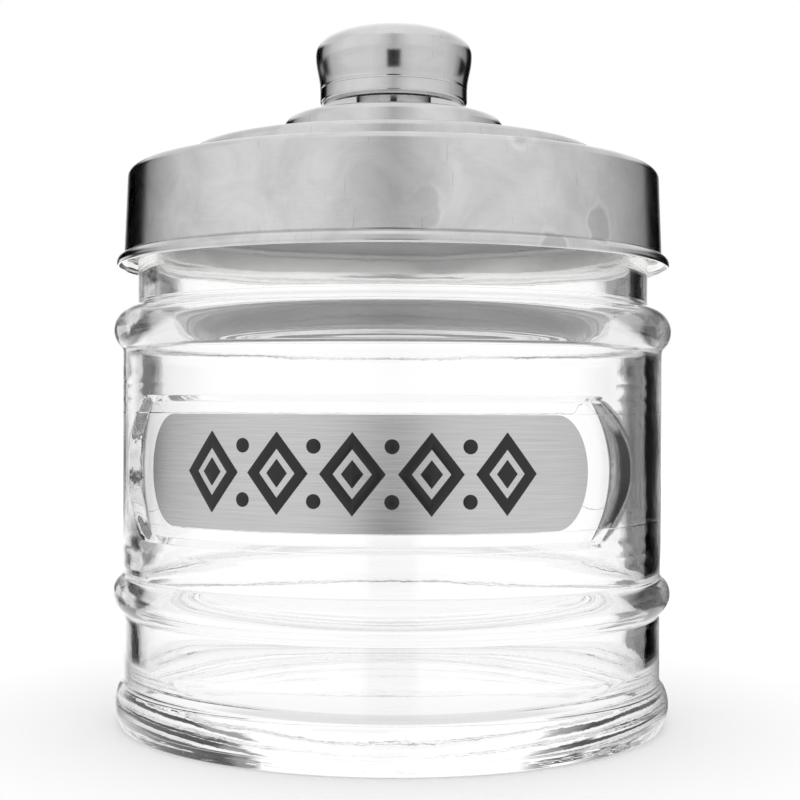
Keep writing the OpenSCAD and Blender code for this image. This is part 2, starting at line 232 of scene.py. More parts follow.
def line(first, last, step):
    """Points between two ends, without the ends, about step apart."""
    first, last = np.array(first, float), np.array(last, float)
    count = max(1, int(np.hypot(*(last - first)) / step))
    return first + (last - first) * np.linspace(0, 1, count + 1)[1:-1, None]


def bow_radius(half, bow):
    """Radius of the arc that bows out by bow over a chord of half length half."""
    return (half * half + bow * bow) / (2 * bow)


def bead(r, z, out, ridge_r, blend_r):
    """A bead's section, going up."""
    dr = ridge_r + blend_r - out
    dz = math.sqrt((ridge_r + blend_r) ** 2 - dr * dr)
    a = math.degrees(math.atan2(dz, dr))
    return [arc((r + blend_r, z - dz), blend_r, 180, 180 - a, 6),
            arc((r + out - ridge_r, z), ridge_r, -a, a, 20)[1:],
            arc((r + blend_r, z + dz), blend_r, 180 + a, 180, 6)[1:]]


def shoulder(j):
    """The shoulder's section, going up: a bead that rounds over into the neck."""
    neck_r = j.body_r - j.neck_inset
    reach = j.shoulder_r + j.blend_r
    centre = (j.body_r + j.shoulder_out - j.shoulder_r, j.shoulder_z)
    low_r = reach - j.shoulder_out
    low_z = math.sqrt(reach ** 2 - low_r ** 2)
    top_r = neck_r + j.blend_r - centre[0]
    top_z = math.sqrt(reach ** 2 - top_r ** 2)
    a = math.degrees(math.atan2(low_z, low_r))
    b = math.degrees(math.atan2(top_z, top_r))
    return [arc((j.body_r + j.blend_r, j.shoulder_z - low_z), j.blend_r, 180, 180 - a, 6),
            arc(centre, j.shoulder_r, -a, b, 26)[1:],
            arc((neck_r + j.blend_r, j.shoulder_z + top_z), j.blend_r, 180 + b, 180, 8)[1:]]


def heel(j):
    """The foot, the turned-in edge, the bulge and the blend into the band, going up."""
    band_r = j.body_r - j.band_inset
    heel_r = band_r + j.heel_out
    foot_r = heel_r - j.foot_inset
    turn = j.foot_edge_r
    dr = j.heel_bulge_r + j.heel_blend_r - j.heel_out
    dz = math.sqrt((j.heel_bulge_r + j.heel_blend_r) ** 2 - dr * dr)
    a = math.degrees(math.atan2(dz, dr))
    edge = math.degrees(math.asin((j.heel_edge_z - j.heel_z) / j.heel_bulge_r))
    foot = arc((foot_r - turn, turn), turn, -90, -25, 4)
    bulge = arc((heel_r - j.heel_bulge_r, j.heel_z), j.heel_bulge_r, edge, a, 16)
    return [foot, line(foot[-1], bulge[0], 0.17), bulge,
            arc((band_r + j.heel_blend_r, j.heel_z + dz), j.heel_blend_r, 180 + a, 180, 8)[1:]]


def jar_section(j):
    """The whole section of the glass from under the base to the middle of the floor.
    Returns the points and, for each named part, the slice of its rows."""
    band_r, inner_r = j.body_r - j.band_inset, j.body_r - j.wall
    neck_r = j.body_r - j.neck_inset
    mouth_r, mouth_z = neck_r - j.neck_t, j.shoulder_z + j.neck_h
    rim_r = j.neck_t / 2
    foot_in = band_r + j.heel_out - j.foot_inset - j.foot_edge_r - j.foot_w
    kick_r = bow_radius(foot_in, j.kick_h)
    kick = arc((0, j.kick_h - kick_r), kick_r, 90, 90 - math.degrees(math.asin(foot_in / kick_r)), 8)
    low = bead(band_r, j.bead_z, j.bead_out, j.bead_r, j.blend_r)
    heel_rows = heel(j)
    top = shoulder(j)
    z0, z1 = j.panel_z - j.panel_half_h, j.panel_z + j.panel_half_h
    # Rows of the panel, close together on the slopes at its bottom and top
    beside = np.array([0.3, 0.44, 0.52, 0.6, 0.75, 1.2, 2.2])
    fine = j.panel_slope * np.concatenate([-beside[::-1], [0], beside])
    heights = np.concatenate([[z0 - 3], z0 + fine, np.linspace(z0 + 2.5, z1 - 2.5, 26),
                              z1 - fine[::-1], [z1 + 3]])
    panel = np.stack([np.full_like(heights, j.body_r), heights], -1)
    throat_in = inner_r - mouth_r
    throat_r = (throat_in ** 2 + j.throat_h ** 2) / (4 * throat_in)
    a = math.degrees(math.asin(j.throat_h / 2 / throat_r))
    throat_z = j.shoulder_z + j.shoulder_r - j.throat_h + 1
    trace = np.concatenate(bead(inner_r, j.bead_z, j.bead_inside, j.bead_r, j.blend_r * 2)[:3])[::-1]
    lower = arc((inner_r - throat_r, throat_z), throat_r, 0, a, 7)
    upper = arc((mouth_r + throat_r, throat_z + j.throat_h), throat_r, 180 + a, 180, 7)
    throat = np.concatenate([lower, upper[1:]])[::-1]
    corner = arc((inner_r - j.corner_r, j.floor_z + j.corner_r), j.corner_r, 0, -90, 14)
    floor = [[r, j.floor_z + j.floor_rise * (1 - (r / (inner_r - j.corner_r)) ** 2)]
             for r in np.linspace(inner_r - j.corner_r, 0, 30)[1:]]
    rim = arc((neck_r - rim_r, mouth_z - rim_r), rim_r, 0, 180, 14)
    parts = [
        ("under", kick), ("foot", np.concatenate(heel_rows[:2])), ("heel", np.concatenate(heel_rows[2:])),
        ("band", line(heel_rows[-1][-1], low[0][0], 1.6)), ("bead", np.concatenate(low)),
        ("body", line(low[-1][-1], panel[0], 1.6)), ("panel", panel),
        ("body_top", line(panel[-1], top[0][0], 1.6)), ("shoulder", np.concatenate(top)),
        ("neck", line(top[-1][-1], rim[0], 2.2)), ("rim", rim),
        ("throat_neck", line(rim[-1], throat[0], 2.2)), ("throat", throat),
        ("wall", line(throat[-1], trace[0], 1.4)), ("trace", trace),
        ("wall_low", line(trace[-1], corner[0], 1.4)), ("corner", corner), ("floor", np.array(floor))]
    rows, start = {}, 0
    for name, points in parts:
        rows[name] = slice(start, start + len(points))
        start += len(points)
    return np.concatenate([points for _, points in parts if len(points)]), rows


def mesh_object(name, co, faces, sharp=40):
    """A smooth-shaded mesh object, with edges sharp past an angle in degrees."""
    mesh = bpy.data.meshes.new(name)
    mesh.from_pydata(np.asarray(co).tolist(), [], faces)
    mesh.polygons.foreach_set("use_smooth", [True] * len(mesh.polygons))
    mesh.set_sharp_from_angle(angle=math.radians(sharp))
    mesh.update()
    obj = bpy.data.objects.new(name, mesh)
    bpy.context.scene.collection.objects.link(obj)
    return obj


def turned(name, section, angles, shape=None, sharp=40):
    """Turns a section about Z. Angles are in degrees from the label's middle towards +X.
    A section that starts and ends on the axis is closed with fans there, any other one is a closed loop.
    shape takes the angle, radius and height of each point, by rows, and returns them moved."""
    section = np.asarray(section, float)
    solid = section[0, 0] < 1e-6
    t, r = np.meshgrid(np.radians(angles), section[:, 0])
    z = np.repeat(section[:, 1:], len(angles), axis=1)
    if shape:
        t, r, z = shape(t, r, z)
    co = np.stack([r * np.sin(t), -r * np.cos(t), z], -1) * MM
    rows, columns = co.shape[:2]
    index = np.arange(rows * columns).reshape(rows, columns)
    low, high = (index[1:-2], index[2:-1]) if solid else (index, np.roll(index, -1, 0))
    quads = np.stack([low, np.roll(low, -1, 1), np.roll(high, -1, 1), high], -1).reshape(-1, 4)
    faces = quads.tolist()
    if solid:
        first, last = index[0, 0], index[-1, 0]
        faces += [[first, b, a] for a, b in zip(index[1].tolist(), np.roll(index[1], -1).tolist())]
        faces += [[a, b, last] for a, b in zip(index[-2].tolist(), np.roll(index[-2], -1).tolist())]
        used = np.concatenate([[first], index[1:-1].ravel(), [last]])
        renumber = np.zeros(rows * columns, int)
        renumber[used] = np.arange(len(used))
        faces = [[int(renumber[i]) for i in face] for face in faces]
        return mesh_object(name, co.reshape(-1, 3)[used], faces, sharp)
    return mesh_object(name, co.reshape(-1, 3), faces, sharp)


def waves(t, z, seed, size, longest, shortest, count=10):
    """Soft irregular waves over a turned surface, about size high, for angles t in radians and heights z."""
    rng = np.random.default_rng(seed)
    total = np.zeros(np.broadcast(t, z).shape)
    for k in range(count):
        span = longest * (shortest / longest) ** (k / (count - 1))
        round_count = max(1, int(round(2 * math.pi * 50 / span * rng.uniform(0.3, 1))))
        climb = 2 * math.pi / span * rng.uniform(-1, 1)
        total += (span / longest) * np.sin(round_count * t + climb * z + rng.uniform(0, 2 * math.pi))
    return size * total / math.sqrt(count)


# Finishes

def add(tree, kind, inputs=(), **settings):
    """Adds a node with its settings. inputs maps a socket to a value or to the output that feeds it."""
    node = tree.nodes.new(kind)
    for name, value in settings.items():
        setattr(node, name, value)
    for key, value in dict(inputs).items():
        if isinstance(value, bpy.types.NodeSocket):
            tree.links.new(value, node.inputs[key])
        else:
            node.inputs[key].default_value = value
    return node


def spread(tree, value, low, high, first=0, last=1):
    """Turns the values from low to high into those from first to last, and goes no further."""
    return add(tree, "ShaderNodeMapRange", {"Value": value, "From Min": low, "From Max": high,
                                            "To Min": first, "To Max": last}).outputs[0]


def blend(tree, share, first, second):
    """One number where share is 0 and the other where it is 1."""
    return add(tree, "ShaderNodeMix", {0: share, 2: first, 3: second}, data_type="FLOAT").outputs[0]


def scaled(tree, shade, factor):
    """A colour or a vector times a number."""
    return add(tree, "ShaderNodeVectorMath", {0: shade, "Scale": factor}, operation="SCALE").outputs[0]


def noise(tree, place, size, detail, output=0, **more):
    """Noise with spots about size millimetres across."""
    inputs = {"Vector": place, "Scale": 1 / (size * MM), "Detail": detail, **more}
    return add(tree, "ShaderNodeTexNoise", inputs).outputs[output]


def set_stops(ramp, stops):
    """Gives a colour ramp grey stops, as (place, brightness)."""
    ramp.color_ramp.interpolation = "LINEAR"
    elements = ramp.color_ramp.elements
    while len(elements) > 1:
        elements.remove(elements[-1])
    for i, (place, value) in enumerate(stops):
        stop = elements[0] if i == 0 else elements.new(place)
        stop.position = place
        stop.color = (value, value, value, 1)


def finish_of(name):
    """A new material, its empty node tree and the place of each point on the piece."""
    material = bpy.data.materials.new(name)
    material.use_nodes = True
    tree = material.node_tree
    tree.nodes.clear()
    return material, tree, add(tree, "ShaderNodeTexCoord").outputs["Object"]


def surface(tree, height, strength, depth, sockets):
    """Ends a tree with its shader over a bump, whose depth is in millimetres."""
    bump = add(tree, "ShaderNodeBump", {"Height": height, "Strength": strength, "Distance": depth * MM})
    shader = add(tree, "ShaderNodeBsdfPrincipled", {**sockets, "Normal": bump.outputs[0]})
    add(tree, "ShaderNodeOutputMaterial", {0: shader.outputs[0]})


def rgba(values):
    """A colour property as the four numbers that a colour socket takes."""
    return (*values, 1)


def moulded_glass(c):
    """Clear soda-lime glass, moulded and fire polished: bright where it is looked straight through,
    dark along its edges, with a skin that is never quite flat."""
    material, tree, place = finish_of("soda_lime_glass_moulded")
    # Grain of the mould's skin, about 2 mm across
    surface(tree, noise(tree, place, 2.2, 2), 0.5, 0.012, {
        "Base Color": rgba(c.glass), "Roughness": 0, "IOR": 1.52, "Transmission Weight": 1})
    return material


def satin_sheet(metal, name, smear, gloss, marks=0.0, inside=None):
    """Pressed metal sheet with a satin finish: soft broad reflections, darker rubbed patches and oval finger
    marks where it has been held, and fine scratches that run round it. The faces that turn inwards or
    downwards can
    take a brighter colour, inside: painted light on these shaded faces, the metal being the same."""
    material, tree, place = finish_of(name)
    # Rubbed patches, about 11 mm across
    patch = noise(tree, place, 11, 5, Roughness=0.6, Distortion=0.8)
    patches = spread(tree, patch, 0.38, 0.68, 1, 1 - smear)
    # Finger marks on the right: ovals 7 mm high with a pale edge, some 13 mm apart
    oval = add(tree, "ShaderNodeMapping", {"Vector": place, "Scale": (1, 1, 0.72),
                                           "Location": (4 * MM, 0, 3 * MM)})
    shift = scaled(tree, noise(tree, place, 5, 2, "Color"), 3 * MM)
    moved = add(tree, "ShaderNodeVectorMath", {0: oval.outputs[0], 1: shift}, operation="ADD")
    finger = add(tree, "ShaderNodeTexVoronoi", {"Vector": moved.outputs[0], "Scale": 1 / (11 * MM),
                                                "Randomness": 0.7})
    mark = add(tree, "ShaderNodeValToRGB", {0: finger.outputs["Distance"]})
    set_stops(mark, [(0, 1 - marks), (0.22, 1 - marks * 0.8), (0.27, 1 + marks * 0.5), (0.33, 1), (1, 1)])
    right = add(tree, "ShaderNodeSeparateXYZ", {0: place}).outputs[0]
    fingers = blend(tree, spread(tree, right, 8 * MM, 16 * MM), 1, mark.outputs[0])
    # Rolling grain, 0.4 mm apart and long round the lid
    stretch = add(tree, "ShaderNodeMapping", {"Vector": place, "Scale": (0.12, 0.12, 1)})
    grain = noise(tree, stretch.outputs[0], 0.4, 2)
    # Scratches across the grain, few and thin
    across = add(tree, "ShaderNodeMapping", {"Vector": place, "Scale": (1, 1, 0.09),
                                             "Rotation": (0.1, 0.07, 0)})
    cuts = spread(tree, noise(tree, across.outputs[0], 0.5, 2), 0.66, 0.75, 1, 0.86)
    shade = tuple(metal)
    for layer in (patches, fingers, spread(tree, grain, 0, 1, 0.96, 1.03), cuts):
        shade = scaled(tree, shade, layer)
    # Painted light: faces that turn inwards or downwards get the brighter inside colour, which stands in for
    # light on these shaded faces
    if inside:
        facing = add(tree, "ShaderNodeNewGeometry").outputs["True Normal"]
        outwards = add(tree, "ShaderNodeVectorMath", {0: place, 1: (1, 1, 0)}, operation="MULTIPLY")
        outwards = add(tree, "ShaderNodeVectorMath", {0: outwards.outputs[0]}, operation="NORMALIZE")
        turned_out = add(tree, "ShaderNodeVectorMath", {0: facing, 1: outwards.outputs[0]},
                         operation="DOT_PRODUCT")
        raised = add(tree, "ShaderNodeSeparateXYZ", {0: facing}).outputs[2]
        lowest = add(tree, "ShaderNodeMath", {0: turned_out.outputs["Value"], 1: raised}, operation="MINIMUM")
        painted_bright_inside_share = spread(tree, lowest.outputs[0], -0.5, -0.8)
        both = add(tree, "ShaderNodeMix", {0: painted_bright_inside_share, 6: shade, 7: rgba(inside)}, data_type="RGBA")
        shade = both.outputs[2]
    surface(tree, grain, 0.2, 0.008, {
        "Base Color": shade, "Metallic": 1, "Roughness": spread(tree, patch, 0.3, 0.75, gloss, gloss + 0.1)})
    return material


def brushed_plate(c):
    """Hairline-brushed aluminium: long fine streaks along the label and a broad soft shine across them."""
    material, tree, place = finish_of("aluminium_hairline_brushed")
    # Hairlines 0.25 mm apart, drawn a little coarser than real ones so that they show
    stretch = add(tree, "ShaderNodeMapping", {"Vector": place, "Scale": (0.02, 0.02, 1)})
    hair = noise(tree, stretch.outputs[0], 0.25, 3)
    along = add(tree, "ShaderNodeTangent", direction_type="RADIAL", axis="Z")
    surface(tree, hair, 0.3, 0.01, {
        "Base Color": scaled(tree, tuple(c.label), spread(tree, hair, 0.25, 0.75, 0.9, 1.08)), "Metallic": 1,
        "Roughness": spread(tree, hair, 0, 1, 0.2, 0.3), "Anisotropic": 0.6, "Tangent": along.outputs[0]})
    return material


def speckled(name, base, roughness, metallic, spot, share):
    """An even finish whose tone and gloss vary a little from spot to spot."""
    material, tree, place = finish_of(name)
    spots = noise(tree, place, spot, 3)
    surface(tree, spots, 0.2, 0.01, {
        "Base Color": scaled(tree, tuple(base), spread(tree, spots, 0, 1, 1 - share, 1 + share)),
        "Metallic": metallic, "Roughness": spread(tree, spots, 0, 1, roughness * 0.8, roughness * 1.2)})
    return material


def dress(obj, body, nodes, material):
    """Gives a piece its finish, puts it on its body and hides the solids it stands for."""
    obj.data.materials.append(material)
    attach(obj, body)
    if nodes:
        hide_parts(*nodes)
    return obj


def coat(node, material):
    """Gives a solid that stays in view its finish."""
    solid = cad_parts[node]
    solid.data.materials.clear()
    solid.data.materials.append(material)


class SUGARJAR_OT_glass(Operator):
    """Make the glass jar with its beads, its panel and the crescents past the panel's ends"""
    bl_idname = "sugar_jar.glass"
    bl_label = "Glass jar"

    def execute(self, context):
        j = in_mm(context.scene.jar_sizes)
        section, rows = jar_section(j)
        mid = j.panel_angle + j.bow_angle
        end = mid + j.crescent_angle
        # Columns, close together where the panel's ends bend, and the rest evenly spaced
        near = [*np.linspace(mid - 7, mid + 0.9, 9), *np.linspace(mid + 1.2, mid + 2.2, 5),
                *np.linspace(mid + 2.8, end - 0.4, 7), *np.linspace(end + 0.2, end + 1.4, 5), end + 2]
        spacing, space = 1.5, 0.6
        plain = [a for a in np.arange(spacing, 180, spacing) if a < near[0] - space or a > near[-1] + space]
        half = sorted(near + plain)
        angles = np.array([0, *half, 180, *[-a for a in reversed(half)]])
        # The columns lean with the panel's bowed ends. The lean dies out over some degrees to each side,
        # and over a share of the panel's half height above and below it.
        lean = [(mid - 16, 0), (mid, j.bow_angle),
                (end, j.bow_angle + j.crescent_angle * (1 - j.crescent_tip)), (end + 18, 0)]
        lean_fade = 0.35
        # Past the label the panel sinks a little more, and its ends rise in a slope with soft edges
        depth = [(mid - 6.5, j.panel_rest), (mid - 0.5, 1), (mid + 1.2, 1), (mid + 1.7, 0.97),
                 (mid + 2.2, 0.9), (end + 0.2, 0.1), (end + 0.8, 0.03), (end + 1.4, 0)]
        bar_z, bar_half_h, edge_z = 1.35, 0.45, 0.6

        def among(r, *parts):
            """Marks the rows of the named parts."""
            marked = np.zeros_like(r, bool)
            for part in parts:
                marked[rows[part]] = True
            return marked

        def shape(t, r, z):
            side, a = np.sign(t), np.degrees(np.abs(t))
            over = np.abs(z - j.panel_z) / j.panel_half_h
            q = np.where(over < 1, over ** 2, np.clip(1 - (over - 1) / lean_fade, 0, 1))
            outer = among(r, "body", "panel", "body_top")
            t = np.where(outer, side * np.radians(a - np.interp(a, *zip(*lean)) * q), t)
            # The panel's top and bottom rise in a short straight slope
            flat = np.clip((1 - over) * j.panel_half_h / j.panel_slope + 0.5, 0, 1)
            r = np.where(outer, r - j.panel_depth * np.interp(a, *zip(*depth)) * flat, r)
            # The inside was shaped by air or a plunger and is never quite round
            inner = among(r, "throat_neck", "throat", "wall", "trace", "wall_low")
            r = np.where(inner, r + waves(t, z, 5, j.wave_h, 45, 12), r)
            x, y = r * np.sin(t), -r * np.cos(t)
            ripple = np.sin(x / 4.1 + 1.2 * np.sin(y / 6.3)) * np.sin(y / 3.7 + 0.8 * np.sin(x / 7.9))
            z = np.where(among(r, "floor"), z + j.ripple_h * ripple * np.clip(r / 6, 0, 1), z)
            # Short bars are pressed into the face that turns in to the foot
            bars = np.clip(1.6 * np.sin(j.bar_count * t) + 0.6, 0, 1)
            bars = bars * np.clip(1 - np.abs(z - bar_z) / bar_half_h, 0, 1)
            r = np.where(among(r, "foot") & (z > edge_z), r - j.bar_depth * bars, r)
            return t, r, z

        jar = turned("glass_jar_moulded", section, angles, shape, sharp=60)
        dress(jar, "jar", ["glass_jar"], moulded_glass(context.scene.jar_colours))
        return {"FINISHED"}


def on_label(points, r, middle):
    """Puts (along, up) points in millimetres on the label's round face, at radius r."""
    p = np.asarray(points, float)
    a = p[:, 0] / r
    return np.stack([r * np.sin(a), -r * np.cos(a), p[:, 1] + middle], -1) * MM


class SUGARJAR_OT_label(Operator):
    """Make the metal label, its glue and its raised ornament"""
    bl_idname = "sugar_jar.label"
    bl_label = "Label"

    def execute(self, context):
        j, l = in_mm(context.scene.jar_sizes), in_mm(context.scene.label_sizes)
        c = context.scene.jar_colours
        floor_r = j.body_r - j.panel_depth
        plate_r = floor_r + l.glue
        half_x = plate_r * math.sin(math.radians(l.half_angle)) - l.end

        def sheet(name, r, inset, thickness, bevel):
            rise = np.radians(np.linspace(-90, 90, 41))
            across = np.sin(np.radians(np.linspace(-90, 90, 121)))
            co = []
            for b in rise:
                reach = math.asin((half_x + l.end * math.cos(b) - inset) / plate_r) * plate_r
                co += [(reach * u, (l.height / 2 - inset) * math.sin(b)) for u in across]
            n = len(across)
            faces = [[i * n + k, i * n + k + 1, (i + 1) * n + k + 1, (i + 1) * n + k]
                     for i in range(len(rise) - 1) for k in range(n - 1)]
            obj = mesh_object(name, on_label(co, r, j.panel_z), faces)
            solid = obj.modifiers.new("thickness", "SOLIDIFY")
            solid.thickness, solid.offset = thickness * MM, 1
            if bevel:
                edge = obj.modifiers.new("edge", "BEVEL")
                edge.width, edge.segments, edge.limit_method = bevel * MM, 3, "ANGLE"
            return obj

        # The film starts a little inside the glass and ends just short of the plate
        glue = sheet("label_glue_film", floor_r - 0.03, l.glue_inset, l.glue + 0.02, 0)
        dress(glue, "jar", ["label_adhesive"],
              speckled("acrylic_glue_film", c.glue, 0.4, 0.0, 1.5, 0.03))
        plate = sheet("label_brushed_plate", plate_r, 0, l.thickness, 0.1)
        dress(plate, "jar", ["label_plate"], brushed_plate(c))

        enamel = speckled("black_stove_enamel", c.enamel, 0.3, 0.0, 0.8, 0.1)
        face_r = plate_r + l.thickness
        outlines = []
        # Five hollow lozenges, each with a small one inside, and a disc above and below between them
        wide, high = l.lozenge_w, l.lozenge_h
        hollow, core = (3.3, high * 0.59), (1.9, 2.4)
        for k in range(-2, 3):
            x = k * l.pitch
            outlines.append((lozenge(x, 0, wide, high), lozenge(x, 0, *hollow)))
            outlines.append((lozenge(x, 0, *core), None))
            if k < 2:
                for up in (-1, 1):
                    outlines.append((disc(x + l.pitch / 2, up * l.disc_up, l.disc_r), None))
        co, faces = [], []
        for outer, inner in outlines:
            start, n = len(co), len(outer)
            co += list(outer)
            sides = [(start + i, start + (i + 1) % n) for i in range(n)]
            if inner is None:
                co.append(np.mean(outer, 0))
                faces += [[a, b, start + n] for a, b in sides]
            else:
                co += list(inner)
                faces += [[a, b, b + n, a + n] for a, b in sides]
        ornament = mesh_object("label_ornament", on_label(co, face_r - 0.04, j.panel_z), faces)
        raised = ornament.modifiers.new("thickness", "SOLIDIFY")
        raised.thickness, raised.offset = l.raised * MM, 1
        edge = ornament.modifiers.new("edge", "BEVEL")
        edge.width, edge.segments, edge.limit_method = 0.05 * MM, 2, "ANGLE"
        dress(ornament, "jar", [], enamel)
        return {"FINISHED"}


def lozenge(x, z, half_w, half_h, steps=14):
    """The outline of a lozenge with sides divided in steps, anticlockwise from its right corner."""
    corners = np.array([(half_w, 0), (0, half_h), (-half_w, 0), (0, -half_h), (half_w, 0)])
    sides = [corners[i] + (corners[i + 1] - corners[i]) * np.arange(steps)[:, None] / steps for i in range(4)]
    return np.concatenate(sides) + (x, z)


def disc(x, z, r, steps=36):
    """The outline of a disc, anticlockwise."""
    a = np.linspace(0, 2 * math.pi, steps, endpoint=False)
    return np.stack([x + r * np.cos(a), z + r * np.sin(a)], -1)


def lid_levels(j, l):
    """The lid's heights and radii that other pieces need too."""
    neck_r = j.body_r - j.neck_inset
    mouth_z = j.shoulder_z + j.neck_h
    top_z = mouth_z + 2 * l.seal_clear + l.seal_flange + l.sheet
    skirt_r = neck_r + l.skirt_gap + l.sheet
    return SimpleNamespace(top_z=top_z, low_z=top_z + l.low_h, step_z=top_z + l.low_h + l.top_h,
                           skirt_r=skirt_r, skirt_low_r=skirt_r + l.skirt_taper, crease_z=top_z - l.skirt_h)


def lid_face(l, v, hole_r, inside):
    """The lid's section from the screw's hole out and down the skirt, drawn inside its outer face."""
    parts = [
        [[hole_r, v.step_z - inside]],
        arc((l.top_r - l.top_edge_r, v.step_z - l.top_edge_r), l.top_edge_r - inside, 90, 0, 12),
        arc((l.top_r + l.top_foot_r, v.low_z + l.top_foot_r), l.top_foot_r + inside, 180, 270, 12),
        arc((l.low_r - l.low_edge_r, v.low_z - l.low_edge_r), l.low_edge_r - inside, 90, 0, 12),
        arc((l.low_r + l.low_foot_r, v.top_z + l.low_foot_r), l.low_foot_r + inside, 180, 270, 10),
        arc((v.skirt_r - l.edge_r, v.top_z - l.edge_r), l.edge_r - inside, 90, 0, 12)]
    last = [v.skirt_low_r - inside, v.crease_z]
    parts += [line(parts[-1][-1], last, 1.2), [last]]
    return np.concatenate(parts)


class SUGARJAR_OT_lid(Operator):
    """Make the pressed lid with its steps and flared rim"""
    bl_idname = "sugar_jar.lid"
    bl_label = "Lid"

    def execute(self, context):
        scene = context.scene
        j, l, k = in_mm(scene.jar_sizes), in_mm(scene.lid_sizes), in_mm(scene.knob_sizes)
        v = lid_levels(j, l)
        centre = (v.skirt_low_r + l.flare_out - l.flare_r, v.crease_z - l.crease_h - l.flare_r)
        a = math.degrees(math.acos((v.skirt_low_r - l.crease - centre[0]) / l.flare_r))
        lip_z = centre[1] - l.flare_r * 0.26
        lip = arc((centre[0] + l.flare_r - l.sheet / 2, lip_z), l.sheet / 2, 0, -180, 6)
        section = np.concatenate([
            lid_face(l, v, k.hole_r, 0), arc(centre, l.flare_r, a, -6, 16), lip[1:-1],
            arc(centre, l.flare_r - l.sheet, -6, 90, 12), lid_face(l, v, k.hole_r, l.sheet)[::-1]])

        def shape(t, r, z):
            # Handling has left the sheet very slightly uneven, below its top
            worn = waves(t, z, 11, l.worn_h, 60, 12) * np.clip((v.step_z - z) / 4, 0, 1)
            return t, r + worn, z

        lid = turned("lid_pressed_sheet", section, np.arange(0, 360, 1.25), shape, sharp=50)
        # The lid's inward and downward faces get the brighter inside colour: painted light on shaded faces
        dress(lid, "lid", ["lid_shell"],
              satin_sheet(scene.jar_colours.lid, "steel_sheet_pressed_satin_painted_light_inside", 0.16, 0.1, 0.2,
                          scene.jar_colours.inside))
        return {"FINISHED"}


class SUGARJAR_OT_ring(Operator):
    """Give the sealing ring its moulded plastic"""
    bl_idname = "sugar_jar.ring"
    bl_label = "Sealing ring"

    def execute(self, context):
        coat("sealing_ring",
             speckled("polythene_moulded", context.scene.jar_colours.ring, 0.4, 0.0, 2, 0.03))
        return {"FINISHED"}


class SUGARJAR_OT_knob(Operator):
    """Make the knob's cap and its dished base"""
    bl_idname = "sugar_jar.knob"
    bl_label = "Knob"

    def execute(self, context):
        scene = context.scene
        j, l, k = in_mm(scene.jar_sizes), in_mm(scene.lid_sizes), in_mm(scene.knob_sizes)
        v = lid_levels(j, l)
        knob_z = v.step_z + k.gap
        seam_z = knob_z + k.base_h
        widest_z = seam_z + k.flare_h
        p = k.squareness

        def face(inside):
            r, h = k.radius - inside, k.dome_h - inside
            a = np.radians(np.linspace(0, 90, 31))
            dome = np.stack([r * np.sin(a) ** (2 / p), widest_z + h * np.cos(a) ** (2 / p)], -1)
            t = np.linspace(0.96, 0, 22)
            waist = np.stack([k.waist_r - inside + (k.radius - k.waist_r) * (1 - np.cos(np.pi * t)) / 2,
                              seam_z + k.flare_h * t], -1)
            return np.concatenate([dome, waist])

        finish = satin_sheet(scene.jar_colours.knob, "aluminium_drawn_polished", 0.1, 0.08)
        outer, inner = face(0), face(k.wall)
        outer[-1, 0] -= 0.1
        cap = turned("knob_drawn_cap", np.concatenate([inner, outer[::-1]]), np.arange(0, 360, 2), sharp=50)
        dress(cap, "lid", ["knob_cap"], finish)

        # The base is dished between its foot and its lip, and a spigot on it holds the cap
        dish, spigot_h, round_r, chamfer = 0.5, 2, 0.3, 0.12
        under_z, nut_z = knob_z + dish, v.step_z + k.wall
        spigot_r, spigot_z, lip = k.waist_r - k.wall, seam_z + spigot_h, k.edge_r + 0.6
        base = np.concatenate([
            [[k.hole_r, v.step_z], [k.foot_r, v.step_z], [k.foot_r, under_z], [k.waist_r - lip, under_z]],
            arc((k.waist_r - lip + 0.35, knob_z + round_r), round_r, 200, 270, 4),
            arc((k.waist_r - k.edge_r, knob_z + k.edge_r), k.edge_r, -90, 0, 10),
            [[k.waist_r, seam_z - chamfer], [k.waist_r - chamfer, seam_z], [spigot_r, seam_z],
             [spigot_r, spigot_z], [spigot_r - k.wall, spigot_z], [spigot_r - k.wall, under_z + k.wall],
             [k.foot_r - k.wall, under_z + k.wall], [k.foot_r - k.wall, nut_z], [k.hole_r, nut_z]]])
        lower = turned("knob_dished_base", base, np.arange(0, 360, 2), sharp=35)
        dress(lower, "lid", ["knob_base"], finish)
        return {"FINISHED"}


class SUGARJAR_OT_fastening(Operator):
    """Give the screw, the washer and the nut their zinc finish"""
    bl_idname = "sugar_jar.fastening"
    bl_label = "Screw, washer and nut"

    def execute(self, context):
        zinc = speckled("steel_zinc_plated", context.scene.jar_colours.zinc, 0.35, 1.0, 1.2, 0.06)
        for node in ("knob_screw", "screw_washer", "knob_nut"):
            coat(node, zinc)
        return {"FINISHED"}


# How bright the studio is all round, at four levels, as (degrees to the right of straight behind the jar,
# brightness). A white panel stands behind the jar with black flags on both sides of it, and broad soft
# lights stand at the sides and in front. Above the flags only the lights are left.
LIGHTS_LEFT = [(-180, 0.6), (-170, 0.76), (-158, 0.92), (-146, 1.0), (-104, 1.0), (-93, 0.9)]
LIGHTS_RIGHT = [(129, 0.98), (153, 1.0), (163, 0.87), (175, 0.68), (180, 0.6)]
AROUND_HIGH = [*LIGHTS_LEFT, (-80, 0.85), (-50, 0.85), (-17, 1.05), (15, 1.05), (50, 0.85), (88, 0.85),
               (100, 0.9), *LIGHTS_RIGHT]
AROUND_LID = [*LIGHTS_LEFT, (-80, 0.82), (-65, 0.57), (-55, 0.36), (-50, 0.03), (-46, 0.0), (-24, 0.0),
              (-21, 0.25), (-17, 0.4), (-16.5, 1.05), (15, 1.05), (15.5, 0.3), (21.5, 0.3), (22, 0.0),
              (44, 0.01), (49, 0.3), (57, 0.4), (66, 0.5), (74, 0.6), (88, 0.74), (100, 0.87), *LIGHTS_RIGHT]
